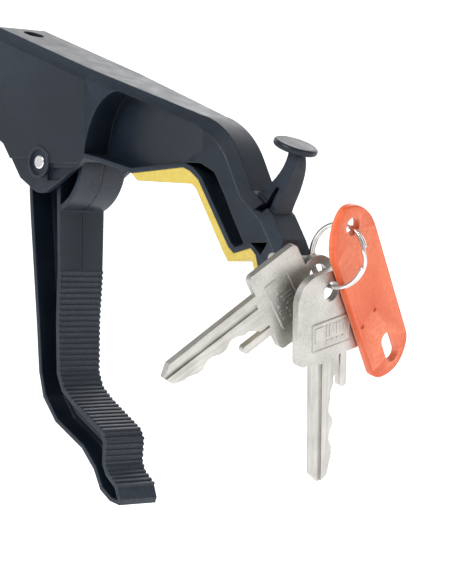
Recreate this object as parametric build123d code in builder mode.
"""Gripping head of a reaching pick-up tool, with a bunch of two keys held on its tip magnet.

Frame: millimetres, +Z up, +X from the tube socket towards the fixed jaw's tip, +Y across the
head. The origin is the centre of the tube socket's mouth. The side profiles are drawn from the
jaw's pivot, in a plane that looks along +Y: local x is +X and local y is +Z.
"""

import os
from math import cos, radians, sin

from build123d import *

# Tube socket, rod guide and pull rod
TUBE_TILT = 19.0
TUBE_BORE_R = 9.6
TUBE_BORE_LENGTH = 16.0
SCREW_S = 6.0
SCREW_R = 1.5
SCREW_HEAD_R = 2.8
SCREW_HEAD_THICK = 1.8
SCREW_SEAT = 13.0
BULKHEAD = 2.2
GUIDE_R = 4.0
ROD_R = 2.5
ROD_HEIGHT = 14.85
ROD_END_GAP = 0.3
ROD_THREAD_R = 1.25
ROD_THREAD_DEEP = 8.0
ROD_GRIP = 2.0
NUT_R = 4.2
NUT_THICK = 1.8

# Jaw pivot, and the lever and yoke above it
PIVOT_S = 34.0
PIN_R = 2.0
BUSH_R = 2.6
BUSH_FLANGE_R = 3.6
BUSH_FLANGE = 0.6
RUNNING_FIT = 0.05
HUB_R = 5.2
LEVER_LENGTH = 15.5
LEVER_OPEN = 47.0
LEVER_END_R = 2.6
LEVER_HALF = 1.9
LEVER_PIN_R = 1.25
YOKE_CLEARANCE = 0.2
YOKE_GAP_HALF = 2.3
YOKE_HALF = 4.4
YOKE_HIGH = 3.5
YOKE_BACK = 7.0
YOKE_GAP_DEEP = 4.8
SLOT_HALF = 2.15
YOKE_FRONT = 3.4
SPRING_WIRE_R = 0.4
SPRING_R = 4.2
SPRING_PITCH = 0.95
SPRING_TURNS = 2

# Head moulding
HEAD_HALF = 12.0
EAR_HALF = 11.4
CAVITY_HALF = 9.6
ARM_HALF = 7.5
TIP_HALF = 7.0
BEVEL = 2.8
WEB_HALF = 1.4
BOSS_R = 4.6
BOSS_HALF = 12.3
EAR_PANEL = 1.0
RECESS_FLOOR = 3.0
RECESS_SLOPE = 0.108
LUG_TOP_HALF = 1.3
LUG_BASE_HALF = 3.2
LUG_DISC_AT = (91.2, 1.4)
LUG_DISC_TILT = 24.0
LUG_DISC_R = 6.2
LUG_DISC_THICK = 1.9

# Moving jaw
JAW_HALF_TOP = 8.5
JAW_HALF_TIP = 7.0
JAW_WALL = 1.3
JAW_WEB_HALF = 0.9
JAW_PANEL_HALF = 4.6
CAM_R = 15.0
CAM_WALL = 1.4
CAM_FROM = -69.0
CAM_TO = 6.0
RIB_PITCH = 1.63
RIB_WIDTH = 0.85
RIB_HEIGHT = 0.35
SEAM = 0.25

# Tip magnet and liner
MAGNET_R = 1.9
MAGNET_AT = (89.4, -28.9)
LINER_EDGE = 0.2

# Keys, ring and tag
KEY_THICK = 2.2
KEY_HALF_WIDTH = 12.2
KEY_BOW = 17.0
KEY_HOLE_AT = 19.3
KEY_HOLE_R = 2.8
KEY_LOBE_R = 5.2
KEY_CROWN_TOP = 25.2
KEY_CROWN_R = 7.5
KEY_PANEL = 0.15
KEY_WARD = 0.6
RING_R = 8.6
RING_WIRE = 1.2
RING_STACK = 1.9
RING_AT = (101.2, 6.0, -27.95)
RING_TURN = 8.0
KEY_1_ON_RING = 212.0
KEY_2_ON_RING = 248.5
KEY_2_DROP = 1.4
TAG_ON_RING = 60.0
TAG_THICK = 2.4
TAG_LEFT = -9.3
TAG_RIGHT = 7.3
TAG_TOP = 6.9
TAG_BOTTOM = 48.9
TAG_HOLE_R = 2.5
TAG_HOLE_AT = (-1.0, -0.3)
TAG_SLOT_AT = (41.3, -0.4)
TAG_SLOT = (9.6, 4.8)
TAG_WINDOW_AT = (19.5, -0.4)
TAG_WINDOW = (26.0, 13.0)
TAG_WINDOW_DEEP = 1.2
TAG_SLIP_THICK = 0.3
TAG_WINDOW_THICK = 0.8

REACH = 200.0

along = Vector(cos(radians(TUBE_TILT)), 0, -sin(radians(TUBE_TILT)))
above = Vector(sin(radians(TUBE_TILT)), 0, cos(radians(TUBE_TILT)))
PIVOT = along * PIVOT_S - above * ROD_HEIGHT


def side(y=0.0):
    """Side plane through the pivot at the given y. Its normal is -Y."""
    return Plane(origin=(PIVOT.X, y, PIVOT.Z), x_dir=(1, 0, 0), z_dir=(0, -1, 0))


def tube_plane(s):
    """Plane square to the tube's axis, s from the mouth, with its normal into the head."""
    return Plane(origin=along * s, x_dir=(0, 1, 0), z_dir=along)


def tube_side(y=0.0):
    """Side plane whose local x runs along the tube and whose local y is square to it."""
    return Plane(origin=(0, y, 0), x_dir=along, z_dir=(0, -1, 0))


def screw_plane(height):
    """Plane square to the tube's screw, at the given height over the tube's axis."""
    return Plane(origin=along * SCREW_S + above * height, x_dir=(0, 1, 0), z_dir=above)


def polar(radius, angle):
    """Point of a sketch at a radius and an angle in degrees from its origin."""
    return (radius * cos(radians(angle)), radius * sin(radians(angle)))


def on_crest(edge):
    """True for the edges where the crest meets the two sides of the arm."""
    at = edge.center() - PIVOT
    if at.X > 60.0:
        return at.X + at.Z > 66.0 and abs(at.Y) > 1.0
    return at.Z > 31.5 - 0.365 * at.X and abs(at.Y) > 1.0


os.makedirs("parts", exist_ok=True)

# ---------------------------------------------------------------- head moulding
flange_line = [
    (19.5, 0.5), (25.6, -1.1), (37.1, -4.3), (55.9, -3.2), (58.4, -4.4), (61.4, -6.9),
    (72.9, -25.5), (74.8, -27.1), (81.2, -25.8), (83.1, -27.7), (86.4, -39.6),
]

# side recess of the upper arm, deep at the arch and nearly flush at the elbow
recess_floor = Plane(
    origin=(PIVOT.X + 22.0, -RECESS_FLOOR, 0), x_dir=(0, 0, 1), z_dir=(-RECESS_SLOPE, -1, 0)
)
with BuildPart() as side_recess:
    with BuildSketch(side()):
        with BuildLine():
            Polyline((19.4, 1.9), (25.6, 0.3), (37.1, -2.9), (55.9, -1.8), (63.0, 1.0),
                     (64.0, 6.2), (60.0, 8.6), (31.8, 19.0))
            Spline((31.8, 19.0), (27.2, 17.2), (23.6, 13.4), (20.9, 7.6), (19.4, 1.9))
        make_face()
    extrude(amount=REACH)
    split(bisect_by=recess_floor, keep=Keep.TOP)

# the other cuts into the near side, mirrored later to the far side
with BuildPart() as side_cuts:
    # channel of the lower arm and the notch behind the magnet, both down to the web
    with BuildSketch(side(-WEB_HALF)):
        Polygon((56.3, -1.9), (59.2, -3.2), (62.5, -6.1), (73.9, -24.3), (75.4, -25.5),
                (78.8, -24.7), (73.9, -16.0), (70.7, -9.6), (67.6, -4.9), (62.4, -2.3),
                align=None)
        Polygon((81.2, -24.4), (87.6, -24.4), (85.0, -27.8), align=None)
    extrude(amount=REACH)
    # the ear stands back from the wall above it, and has a sunk panel beside the boss
    with BuildSketch(side(-EAR_HALF)):
        Polygon((-40.0, 1.6), (-1.0, 1.6), (0.0, -0.2), (19.4, -0.9), (19.4, -12.0),
                (-40.0, -12.0), align=None)
        Circle(BOSS_R, mode=Mode.SUBTRACT)
    extrude(amount=REACH)
    with BuildSketch(side(EAR_PANEL - EAR_HALF)):
        Polygon((3.0, -1.6), (15.4, -1.9), (7.6, -5.3), (3.0, -5.3), align=None)
        Circle(BOSS_R, mode=Mode.SUBTRACT)
    extrude(amount=REACH)
    # ring sunk into the boss around the pin's head
    with BuildSketch(side(0.6 - BOSS_HALF)):
        Circle(BOSS_R - 0.9)
    extrude(amount=REACH)
    # sunk triangle at the root of the dressing lug
    with BuildSketch(side(-LUG_TOP_HALF)):
        Polygon((82.0, -15.4), (84.1, -16.3), (88.0, -9.9), (86.9, -9.3), align=None)
    extrude(amount=REACH)

with BuildPart() as lug:
    # tapered horn, cut from its side profile by its width across the head
    with BuildSketch(side()):
        with BuildLine():
            Spline((78.6, -11.5), (85.6, -7.5), (88.9, -3.6), (90.2, 1.2))
            Line((90.2, 1.2), (92.6, 1.2))
            Spline((92.6, 1.2), (93.1, -3.7), (91.0, -8.8), (86.6, -17.0))
            Line((86.6, -17.0), (78.6, -11.5))
        make_face()
    extrude(amount=LUG_BASE_HALF, both=True)
    with BuildSketch(Plane.YZ.offset(PIVOT.X)):
        Polygon(
            (LUG_TOP_HALF, PIVOT.Z + 2.0), (LUG_BASE_HALF, PIVOT.Z - 11.0),
            (LUG_BASE_HALF, PIVOT.Z - 20.0), (-LUG_BASE_HALF, PIVOT.Z - 20.0),
            (-LUG_BASE_HALF, PIVOT.Z - 11.0), (-LUG_TOP_HALF, PIVOT.Z + 2.0), align=None,
        )
    extrude(amount=REACH, mode=Mode.INTERSECT)

lug_top = PIVOT + Vector(LUG_DISC_AT[0], 0, LUG_DISC_AT[1])
lug_axis = Vector(sin(radians(LUG_DISC_TILT)), 0, cos(radians(LUG_DISC_TILT)))
with BuildPart() as lug_disc:
    with BuildSketch(Plane(origin=lug_top, x_dir=(0, 1, 0), z_dir=lug_axis)):
        Circle(LUG_DISC_R)
    extrude(amount=LUG_DISC_THICK / 2, both=True)
    fillet(lug_disc.edges(), 0.42 * LUG_DISC_THICK)

with BuildPart() as head:
    # whole side outline: crest, tip, gripping flange and ears
    with BuildSketch(side()):
        with BuildLine():
            Line((-21.9, 41.1), (60.0, 11.2))
            ThreePointArc((60.0, 11.2), (69.4, 6.2), (75.0, -1.2))
            Polyline((75.0, -1.2), (79.5, -10.3), (86.9, -16.9), (91.0, -23.7), (91.0, -27.6),
                     (89.7, -30.8), (88.2, -39.9), flange_line[-1])
            Polyline(*reversed(flange_line))
            Polyline(flange_line[0], (9.2, -5.5), (3.6, -8.2))
            ThreePointArc((3.6, -8.2), (0.0, -8.9), (-3.4, -7.7))
            Polyline((-3.4, -7.7), (-9.0, -4.2), (-16.0, 6.0), (-31.4, 15.4), (-21.9, 41.1))
        make_face()
    extrude(amount=HEAD_HALF, both=True)

    # the arm narrows from the ears to the elbow
    with BuildSketch():
        with BuildLine():
            Polyline(
                (-REACH, HEAD_HALF), (PIVOT.X + 20.0, HEAD_HALF), (PIVOT.X + 60.0, ARM_HALF),
                (PIVOT.X + 96.0, TIP_HALF), (PIVOT.X + 96.0, -TIP_HALF),
                (PIVOT.X + 60.0, -ARM_HALF), (PIVOT.X + 20.0, -HEAD_HALF), (-REACH, -HEAD_HALF),
                close=True,
            )
        make_face()
    extrude(amount=REACH, both=True, mode=Mode.INTERSECT)

    # bevelled shoulders along the crest
    chamfer(head.edges().filter_by(on_crest), BEVEL)

    # bosses around the pivot pin, and the dressing lug
    with BuildSketch(side()):
        Circle(BOSS_R)
    extrude(amount=BOSS_HALF, both=True)
    add(lug.part)
    add(lug_disc.part)

    # recesses, channels and sunk panels of both sides
    for cuts in (side_recess, side_cuts):
        add(cuts.part, mode=Mode.SUBTRACT)
        mirror(cuts.part, about=Plane.XZ, mode=Mode.SUBTRACT)

    # cavity for the yoke, the lever and the jaw's cam, open below
    with BuildSketch(side()):
        Polygon((-8.3, 24.4), (17.0, 15.8), (17.6, 3.0), (17.6, -12.0), (-16.0, -12.0),
                (-14.2, 7.4), align=None)
    extrude(amount=CAVITY_HALF, both=True, mode=Mode.SUBTRACT)

    # bore for the tube, cut square at the mouth
    with BuildSketch(tube_plane(0)):
        Circle(REACH / 2)
    extrude(amount=-REACH, mode=Mode.SUBTRACT)
    with BuildSketch(tube_plane(0)):
        Circle(TUBE_BORE_R)
    extrude(amount=TUBE_BORE_LENGTH, mode=Mode.SUBTRACT)
    # seats of the rod guide, the tube's screw and the pivot pin
    with BuildSketch(tube_plane(TUBE_BORE_LENGTH)):
        Circle(GUIDE_R)
    extrude(amount=2 * BULKHEAD, mode=Mode.SUBTRACT)
    with BuildSketch(screw_plane(0)):
        Circle(SCREW_R)
    extrude(amount=REACH, mode=Mode.SUBTRACT)
    with BuildSketch(screw_plane(SCREW_SEAT)):
        Circle(SCREW_HEAD_R + 0.3)
    extrude(amount=REACH, mode=Mode.SUBTRACT)
    with BuildSketch(side()):
        Circle(PIN_R)
    extrude(amount=REACH, both=True, mode=Mode.SUBTRACT)
    # pocket for the magnet, open towards the keys
    with BuildSketch(side()):
        with Locations(MAGNET_AT):
            Circle(MAGNET_R)
    extrude(amount=REACH, both=True, mode=Mode.SUBTRACT)

head.part.label = "head_moulding"
export_step(head.part, "parts/head_moulding.step")

# ---------------------------------------------------------------- grip liner
with BuildPart() as liner:
    with BuildSketch(side()):
        with BuildLine():
            Polyline(*flange_line[2:])
            Polyline(flange_line[-1], (84.6, -39.6), (81.5, -28.6), (72.6, -29.4), (70.9, -27.0),
                     (60.4, -9.3), (58.8, -7.9), (39.3, -6.5), flange_line[2])
        make_face()
    extrude(amount=HEAD_HALF, both=True)
    with BuildSketch():
        Polygon(
            (PIVOT.X + 20.0, HEAD_HALF - LINER_EDGE), (PIVOT.X + 60.0, ARM_HALF - LINER_EDGE),
            (PIVOT.X + 96.0, TIP_HALF - LINER_EDGE), (PIVOT.X + 96.0, LINER_EDGE - TIP_HALF),
            (PIVOT.X + 60.0, LINER_EDGE - ARM_HALF), (PIVOT.X + 20.0, LINER_EDGE - HEAD_HALF),
            align=None,
        )
    extrude(amount=REACH, both=True, mode=Mode.INTERSECT)

liner.part.label = "grip_liner"
export_step(liner.part, "parts/grip_liner.step")

# ---------------------------------------------------------------- tip magnet
with BuildPart() as magnet:
    with BuildSketch(side()):
        with Locations(MAGNET_AT):
            Circle(MAGNET_R)
    extrude(amount=TIP_HALF + 0.2, both=True)
    chamfer(magnet.edges(), 0.2)

magnet.part.label = "tip_magnet"
export_step(magnet.part, "parts/tip_magnet.step")

# ---------------------------------------------------------------- rod guide and tube screw
with BuildPart() as guide:
    with BuildSketch(tube_plane(TUBE_BORE_LENGTH)):
        Circle(GUIDE_R)
        Circle(ROD_R + RUNNING_FIT, mode=Mode.SUBTRACT)
    extrude(amount=BULKHEAD)

guide.part.label = "rod_guide"
export_step(guide.part, "parts/rod_guide.step")

with BuildPart() as screw:
    with BuildSketch(screw_plane(TUBE_BORE_R + 0.2)):
        Circle(SCREW_R)
    extrude(amount=SCREW_SEAT - TUBE_BORE_R - 0.2)
    with BuildSketch(screw_plane(SCREW_SEAT)):
        Circle(SCREW_HEAD_R)
    extrude(amount=SCREW_HEAD_THICK)
    fillet(screw.faces().sort_by(Axis(along * SCREW_S, above))[-1].edges(), 0.7)
    with BuildSketch(screw_plane(SCREW_SEAT + SCREW_HEAD_THICK)):
        Rectangle(2.6, 0.6)
        Rectangle(0.6, 2.6)
    extrude(amount=-1.0, mode=Mode.SUBTRACT)

screw.part.label = "tube_screw"
export_step(screw.part, "parts/tube_screw.step")

# ---------------------------------------------------------------- pivot pin and its clip
with BuildPart() as pin:
    with BuildSketch(side(-(BOSS_HALF - 0.2))):
        Circle(PIN_R)
    extrude(amount=-(2 * BOSS_HALF + 1.2))
    fillet(pin.faces().sort_by(Axis.Y)[0].edges(), 0.35)
    chamfer(pin.faces().sort_by(Axis.Y)[-1].edges(), 0.3)
    with BuildSketch(side(BOSS_HALF - 0.5)):
        Circle(PIN_R)
        Circle(PIN_R - 0.4, mode=Mode.SUBTRACT)
    extrude(amount=-0.7, mode=Mode.SUBTRACT)

pin.part.label = "pivot_pin"
export_step(pin.part, "parts/pivot_pin.step")

with BuildPart() as clip:
    with BuildSketch(side(BOSS_HALF - 0.45)):
        Circle(PIN_R + 1.5)
        Circle(PIN_R - 0.35, mode=Mode.SUBTRACT)
        with Locations((0, -PIN_R)):
            Rectangle(2.4, 2 * PIN_R, mode=Mode.SUBTRACT)
    extrude(amount=-0.6)

clip.part.label = "pin_clip"
export_step(clip.part, "parts/pin_clip.step")

# ---------------------------------------------------------------- moving jaw
front_line = [
    (5.4, -2.0), (5.4, -15.6), (5.2, -32.0), (4.2, -46.0), (4.2, -61.0), (6.0, -65.5),
    (10.0, -69.0), (22.4, -77.3), (23.8, -80.0), (23.3, -86.6), (24.6, -89.3), (28.3, -92.6),
    (29.6, -96.6),
]
back_line = [
    (-8.2, -2.0), (-8.2, -8.3), (-5.6, -47.3), (-4.9, -61.0), (-3.2, -68.4), (2.0, -75.4),
    (13.3, -82.6), (18.3, -88.4), (21.0, -94.2), (25.0, -97.2), (29.0, -98.2),
]
lever_tip = polar(LEVER_LENGTH, LEVER_OPEN)

with BuildPart() as jaw:
    # limb: a closed outline cut from both sides to a thin web between its two plates
    with BuildSketch(side()) as limb_outline:
        with BuildLine():
            Polyline(*front_line)
            Polyline(front_line[-1], back_line[-1])
            Polyline(*reversed(back_line))
            Line(back_line[0], front_line[0])
        make_face()
    extrude(amount=JAW_HALF_TOP, both=True)
    with BuildSketch(side(JAW_WEB_HALF)):
        offset(limb_outline.sketch_local, amount=-JAW_WALL)
    extrude(amount=-REACH, mode=Mode.SUBTRACT)
    with BuildSketch(side(-JAW_WEB_HALF)):
        offset(limb_outline.sketch_local, amount=-JAW_WALL)
    extrude(amount=REACH, mode=Mode.SUBTRACT)

    # thicker web behind the slanted stretch of ribs
    with BuildSketch(side()):
        Polygon((5.0, -63.6), (9.6, -70.2), (22.2, -78.4), (22.6, -84.0), (18.6, -80.2),
                (8.0, -73.2), (3.6, -67.6), align=None)
    extrude(amount=JAW_PANEL_HALF, both=True)

    # ribs across the front, square to it and evenly spaced down to the tip
    with BuildLine(Plane.XY, mode=Mode.PRIVATE) as rib_path:
        Polyline(*front_line[2:-1])
    rib_count = int(rib_path.wire().length / RIB_PITCH)
    with BuildSketch(side()):
        for index in range(rib_count + 1):
            share = index * RIB_PITCH / rib_path.wire().length
            at = rib_path.wire() @ share
            run = rib_path.wire() % share
            with Locations(Plane(origin=at, x_dir=run, z_dir=(0, 0, 1))):
                Rectangle(RIB_WIDTH, 2 * RIB_HEIGHT)
    extrude(amount=JAW_HALF_TOP, both=True)

    # the limb narrows to its tip
    with BuildSketch(Plane.YZ.offset(PIVOT.X - 50.0)):
        Polygon(
            (JAW_HALF_TOP, PIVOT.Z + 10.0), (JAW_HALF_TOP, PIVOT.Z - 15.0),
            (JAW_HALF_TIP, PIVOT.Z - 100.0), (-JAW_HALF_TIP, PIVOT.Z - 100.0),
            (-JAW_HALF_TOP, PIVOT.Z - 15.0), (-JAW_HALF_TOP, PIVOT.Z + 10.0), align=None,
        )
    extrude(amount=REACH, mode=Mode.INTERSECT)

    # hub, and the lever that the yoke pulls
    with BuildSketch(side()):
        Circle(HUB_R)
    extrude(amount=JAW_HALF_TOP, both=True)
    with BuildSketch(side()):
        Circle(LEVER_END_R)
        with Locations(lever_tip):
            Circle(LEVER_END_R)
        make_hull()
    extrude(amount=LEVER_HALF, both=True)

    # cam shell around the hub, on a web
    with BuildSketch(side()):
        with BuildLine():
            CenterArc((0, 0), CAM_R, CAM_FROM, CAM_TO - CAM_FROM)
            Line(polar(CAM_R, CAM_TO), polar(CAM_R - CAM_WALL, CAM_TO))
            CenterArc((0, 0), CAM_R - CAM_WALL, CAM_TO, CAM_FROM - CAM_TO)
            Line(polar(CAM_R - CAM_WALL, CAM_FROM), polar(CAM_R, CAM_FROM))
        make_face()
    extrude(amount=JAW_HALF_TOP, both=True)
    with BuildSketch(side()):
        with BuildLine():
            Line((0, 0), polar(CAM_R - 0.2, CAM_FROM))
            CenterArc((0, 0), CAM_R - 0.2, CAM_FROM, CAM_TO - CAM_FROM)
            Line(polar(CAM_R - 0.2, CAM_TO), (0, 0))
        make_face()
    extrude(amount=JAW_WEB_HALF, both=True)

    # parting line down the middle of the front
    with BuildSketch(side()):
        with BuildLine():
            CenterArc((0, 0), CAM_R - SEAM, CAM_FROM + 1.0, CAM_TO - CAM_FROM)
            Line(polar(CAM_R - SEAM, CAM_TO + 1.0), polar(CAM_R + 1.0, CAM_TO + 1.0))
            CenterArc((0, 0), CAM_R + 1.0, CAM_TO + 1.0, CAM_FROM - CAM_TO)
            Line(polar(CAM_R + 1.0, CAM_FROM + 1.0), polar(CAM_R - SEAM, CAM_FROM + 1.0))
        make_face()
        Polygon((5.4 - SEAM, -14.6), (5.2 - SEAM, -31.0), (6.5, -31.0), (6.5, -14.6), align=None)
    extrude(amount=SEAM / 2, both=True, mode=Mode.SUBTRACT)

    # holes for the bushes and the lever pin
    with BuildSketch(side()):
        Circle(BUSH_R)
        with Locations(lever_tip):
            Circle(LEVER_PIN_R)
    extrude(amount=REACH, both=True, mode=Mode.SUBTRACT)
    # room for the return spring on the far end of the hub
    with BuildSketch(side(JAW_HALF_TOP - SPRING_PITCH * (SPRING_TURNS + 1) - 0.4)):
        Circle(HUB_R + 0.2)
        Circle(BUSH_FLANGE_R - 0.2, mode=Mode.SUBTRACT)
    extrude(amount=-REACH, mode=Mode.SUBTRACT)

jaw.part.label = "moving_jaw"
export_step(jaw.part, "parts/moving_jaw.step")

# ---------------------------------------------------------------- pivot bushes
with BuildPart() as bushes:
    for hand in (-1, 1):
        with BuildSketch(side(hand * JAW_HALF_TOP)):
            Circle(BUSH_FLANGE_R)
            Circle(PIN_R + RUNNING_FIT, mode=Mode.SUBTRACT)
        extrude(amount=-hand * BUSH_FLANGE)
        with BuildSketch(side(hand * JAW_HALF_TOP)):
            Circle(BUSH_R)
            Circle(PIN_R + RUNNING_FIT, mode=Mode.SUBTRACT)
        extrude(amount=hand * 5.0)

bushes.part.label = "pivot_bushes"
export_step(bushes.part, "parts/pivot_bushes.step")

# ---------------------------------------------------------------- lever pin and its clips
with BuildPart() as lever_pin:
    with BuildSketch(side()):
        with Locations(lever_tip):
            Circle(LEVER_PIN_R)
    extrude(amount=YOKE_HALF + 1.4, both=True)
    chamfer(lever_pin.edges(), 0.2)

lever_pin.part.label = "lever_pin"
export_step(lever_pin.part, "parts/lever_pin.step")

with BuildPart() as lever_clips:
    for hand in (-1, 1):
        with BuildSketch(side(hand * (YOKE_HALF + 0.3))):
            with Locations(lever_tip):
                Circle(LEVER_PIN_R + 1.1)
                Circle(LEVER_PIN_R, mode=Mode.SUBTRACT)
        extrude(amount=-hand * 0.5)

lever_clips.part.label = "lever_clips"
export_step(lever_clips.part, "parts/lever_clips.step")

# ---------------------------------------------------------------- yoke, pull rod and lock nut
pin_at = PIVOT + Vector(lever_tip[0], 0, lever_tip[1])
pin_s = pin_at.dot(along)
with BuildPart() as yoke:
    with BuildSketch(tube_side()):
        with Locations((pin_s + (YOKE_FRONT - YOKE_BACK) / 2, 0)):
            RectangleRounded(YOKE_BACK + YOKE_FRONT, 2 * YOKE_HIGH, 1.2)
    extrude(amount=YOKE_HALF, both=True)
    with BuildSketch(tube_side()):
        with Locations((pin_s + REACH / 2 - YOKE_GAP_DEEP, 0)):
            Rectangle(REACH, 2 * REACH)
    extrude(amount=YOKE_GAP_HALF, both=True, mode=Mode.SUBTRACT)
    with BuildSketch(tube_side()):
        with Locations((pin_s, 0)):
            SlotOverall(2 * SLOT_HALF, 2 * (LEVER_PIN_R + YOKE_CLEARANCE), rotation=90)
    extrude(amount=REACH, both=True, mode=Mode.SUBTRACT)
    with BuildSketch(tube_plane(pin_s - YOKE_BACK)):
        Circle(ROD_R)
    extrude(amount=ROD_GRIP, mode=Mode.SUBTRACT)

yoke.part.label = "rod_yoke"
export_step(yoke.part, "parts/rod_yoke.step")

rod_start = TUBE_BORE_LENGTH + ROD_END_GAP
rod_end = pin_s - YOKE_BACK + ROD_GRIP
with BuildPart() as rod:
    with BuildSketch(tube_plane(rod_start)):
        Circle(ROD_R)
    extrude(amount=rod_end - rod_start)
    chamfer(rod.edges(), 0.3)
    # tapped hole for the rod that comes down the tube
    with BuildSketch(tube_plane(rod_start)):
        Circle(ROD_THREAD_R)
    extrude(amount=ROD_THREAD_DEEP, mode=Mode.SUBTRACT)

rod.part.label = "pull_rod"
export_step(rod.part, "parts/pull_rod.step")

with BuildPart() as nut:
    with BuildSketch(tube_plane(pin_s - YOKE_BACK - NUT_THICK)):
        RegularPolygon(NUT_R, 6)
        Circle(ROD_R, mode=Mode.SUBTRACT)
    extrude(amount=NUT_THICK)

nut.part.label = "lock_nut"
export_step(nut.part, "parts/lock_nut.step")

# ---------------------------------------------------------------- return spring
coil_start = JAW_HALF_TOP - SPRING_PITCH * (SPRING_TURNS + 0.5)
coil_length = SPRING_TURNS * SPRING_PITCH
with BuildPart() as spring:
    with BuildLine() as coil_line:
        Helix(SPRING_PITCH, coil_length, SPRING_R, center=(PIVOT.X, coil_start, PIVOT.Z),
              direction=(0, 1, 0))
    coil = coil_line.wire()
    with BuildSketch(Plane(origin=coil @ 0, z_dir=coil % 0)):
        Circle(SPRING_WIRE_R)
    sweep(is_frenet=True)
    # one leg bears on the jaw's back plate, the other on the head's cavity wall
    for place, leg in ((0, 9.0), (1, 8.0)):
        heading = coil % place
        with BuildSketch(Plane(origin=coil @ place, z_dir=heading)):
            Circle(SPRING_WIRE_R)
        extrude(amount=leg if place else -leg)

spring.part.label = "return_spring"
export_step(spring.part, "parts/return_spring.step")

# ---------------------------------------------------------------- keys


def key_blade(length, depths):
    """Outline of a blade in the key's own plane: x runs to the tip, y to the cut edge."""
    step = 4.2
    points = [
        (0.0, -6.6), (length - 1.0, -6.2), (length + 2.0, -3.6), (length + 0.6, -0.6)
    ]
    for index in reversed(range(len(depths))):
        middle = 6.4 + index * step
        points.append((middle + 1.5, 2.2 - depths[index]))
        points.append((middle - 0.3, 2.2 - depths[index]))
    points.append((3.0, 3.4))
    points.append((0.0, 3.4))
    return points


def make_key(plane, corner, crowned, length, depths):
    """A flat cylinder key: bow with a ring hole, raised panels, blade, wards and prong."""
    with BuildPart() as key:
        with BuildSketch(plane):
            with Locations((-KEY_BOW / 2, 0)):
                RectangleRounded(KEY_BOW, 2 * KEY_HALF_WIDTH, corner)
            with Locations((-KEY_HOLE_AT, 0)):
                Circle(KEY_LOBE_R)
            if crowned:
                with Locations((-KEY_BOW, 0)):
                    RectangleRounded(
                        2 * (KEY_CROWN_TOP - KEY_BOW), 2 * KEY_HALF_WIDTH, KEY_CROWN_R
                    )
            Polygon(*key_blade(length, depths), align=None)
            with Locations((4.6, 5.2)):
                SlotOverall(11.0, 2.3)
        extrude(amount=KEY_THICK / 2, both=True)
        with BuildSketch(plane):
            with Locations((-7.2, 0)):
                RectangleRounded(8.4, 14.5, 0.8)
        extrude(amount=KEY_THICK / 2 + KEY_PANEL, both=True)
        with BuildSketch(plane):
            with Locations((-KEY_HOLE_AT, 0)):
                Circle(KEY_HOLE_R)
        extrude(amount=KEY_THICK, both=True, mode=Mode.SUBTRACT)
        # milled wards along both faces of the blade
        for hand, height in ((1, -3.6), (-1, -1.0)):
            with BuildSketch(plane.offset(hand * (KEY_THICK / 2 - KEY_WARD))):
                with Locations((length / 2 + 3.0, height)):
                    Rectangle(length + 4.0, 1.4)
            extrude(amount=hand * KEY_THICK, mode=Mode.SUBTRACT)
    return key.part


def ring_point(angle):
    """Point of the split ring's mean circle, at an angle in degrees in the ring's own plane."""
    return ring_plane.from_local_coords(polar(RING_R, angle))


ring_plane = Plane(
    origin=PIVOT + Vector(*RING_AT),
    x_dir=(cos(radians(RING_TURN)), sin(radians(RING_TURN)), 0),
    z_dir=(sin(radians(RING_TURN)), -cos(radians(RING_TURN)), 0),
)

key_1_down = Vector(-0.294, -0.764, -0.574)
key_1_plane = Plane(
    origin=ring_point(KEY_1_ON_RING) + key_1_down * KEY_HOLE_AT,
    x_dir=key_1_down, z_dir=(0.95, -0.168, -0.263),
)
key_1 = make_key(key_1_plane, 1.6, False, 31.5, (1.2, 2.4, 1.0, 2.0, 0.6, 1.6))
key_1.label = "key_1"
export_step(key_1, "parts/key_1.step")

key_2_down = Vector(-0.27, 0.269, -0.925)
key_2_plane = Plane(
    origin=ring_point(KEY_2_ON_RING) + key_2_down * (KEY_HOLE_AT + KEY_2_DROP),
    x_dir=key_2_down, z_dir=(0.96, 0.0, -0.28),
)
key_2 = make_key(key_2_plane, 2.5, True, 34.5, (0.8, 1.8, 2.4, 1.0, 2.2, 1.2))
key_2.label = "key_2"
export_step(key_2, "parts/key_2.step")

# ---------------------------------------------------------------- split ring
ring_section = Plane(
    origin=ring_plane.origin, x_dir=ring_plane.x_dir, z_dir=-ring_plane.y_dir
)
with BuildPart() as ring:
    with BuildSketch(ring_section):
        with Locations((RING_R, 0)):
            RectangleRounded(RING_WIRE, RING_STACK, 0.35)
        for hand in (-1, 1):
            with Locations((RING_R + hand * RING_WIRE / 2, 0)):
                Rectangle(0.3, 0.16, mode=Mode.SUBTRACT)
    revolve(axis=Axis(ring_plane.origin, ring_plane.z_dir), revolution_arc=360)

ring.part.label = "split_ring"
export_step(ring.part, "parts/split_ring.step")

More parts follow.
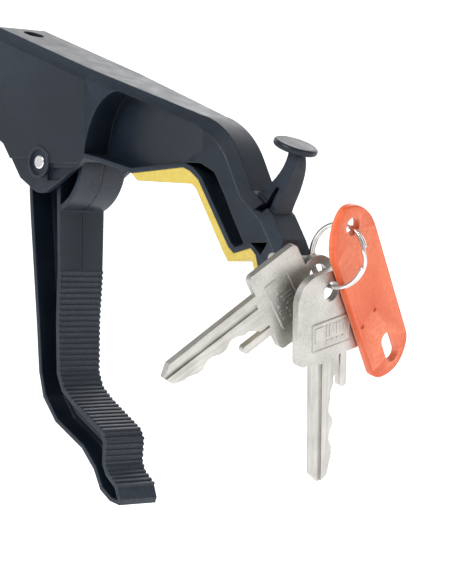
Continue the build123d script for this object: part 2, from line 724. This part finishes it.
# ---------------------------------------------------------------- key tag
tag_plane = Plane(
    origin=ring_point(TAG_ON_RING), x_dir=(-0.223, 0.603, -0.766), z_dir=(0.96, 0.0, -0.28)
)
with BuildPart() as tag:
    with BuildSketch(tag_plane):
        with BuildLine():
            Line((4.0, TAG_RIGHT), (41.0, TAG_RIGHT - 0.4))
            Bezier((41.0, TAG_RIGHT - 0.4), (44.5, TAG_RIGHT - 0.4), (TAG_BOTTOM, 2.4), (TAG_BOTTOM, -1.8))
            Bezier((TAG_BOTTOM, -1.8), (TAG_BOTTOM, -6.0), (47.2, TAG_LEFT + 0.4), (44.0, TAG_LEFT + 0.4))
            Line((44.0, TAG_LEFT + 0.4), (6.0, TAG_LEFT))
            Bezier((6.0, TAG_LEFT), (0.0, TAG_LEFT), (-TAG_TOP, -4.0), (-TAG_TOP, -0.4))
            Bezier((-TAG_TOP, -0.4), (-TAG_TOP, 3.6), (-2.0, TAG_RIGHT), (4.0, TAG_RIGHT))
        make_face()
    extrude(amount=TAG_THICK / 2, both=True)
    fillet(tag.faces().sort_by(Axis(tag_plane.origin, tag_plane.z_dir))[-1].edges(), 0.5)
    with BuildSketch(tag_plane):
        with Locations(TAG_HOLE_AT):
            Circle(TAG_HOLE_R)
        with Locations(TAG_SLOT_AT):
            SlotOverall(*TAG_SLOT)
    extrude(amount=TAG_THICK, both=True, mode=Mode.SUBTRACT)
    # two gate dimples on the face towards the keys' holder
    with BuildSketch(tag_plane.offset(TAG_THICK / 2 - 0.3)):
        with Locations((27.0, -1.6), (28.8, -7.2)):
            Circle(0.6)
    extrude(amount=TAG_THICK, mode=Mode.SUBTRACT)
    # sunk window for the name slip, on the other face
    with BuildSketch(tag_plane.offset(-TAG_THICK / 2)):
        with Locations(TAG_WINDOW_AT):
            RectangleRounded(*TAG_WINDOW, 1.5)
    extrude(amount=TAG_WINDOW_DEEP, mode=Mode.SUBTRACT)

tag.part.label = "tag_body"
export_step(tag.part, "parts/tag_body.step")

with BuildPart() as slip:
    with BuildSketch(tag_plane.offset(TAG_WINDOW_DEEP - TAG_THICK / 2)):
        with Locations(TAG_WINDOW_AT):
            RectangleRounded(TAG_WINDOW[0] - 1.0, TAG_WINDOW[1] - 1.0, 1.2)
    extrude(amount=-TAG_SLIP_THICK)

slip.part.label = "tag_slip"
export_step(slip.part, "parts/tag_slip.step")

with BuildPart() as window:
    with BuildSketch(tag_plane.offset(TAG_WINDOW_DEEP - TAG_SLIP_THICK - TAG_THICK / 2)):
        with Locations(TAG_WINDOW_AT):
            RectangleRounded(TAG_WINDOW[0] - 0.2, TAG_WINDOW[1] - 0.2, 1.4)
    extrude(amount=-TAG_WINDOW_THICK)

window.part.label = "tag_window"
export_step(window.part, "parts/tag_window.step")
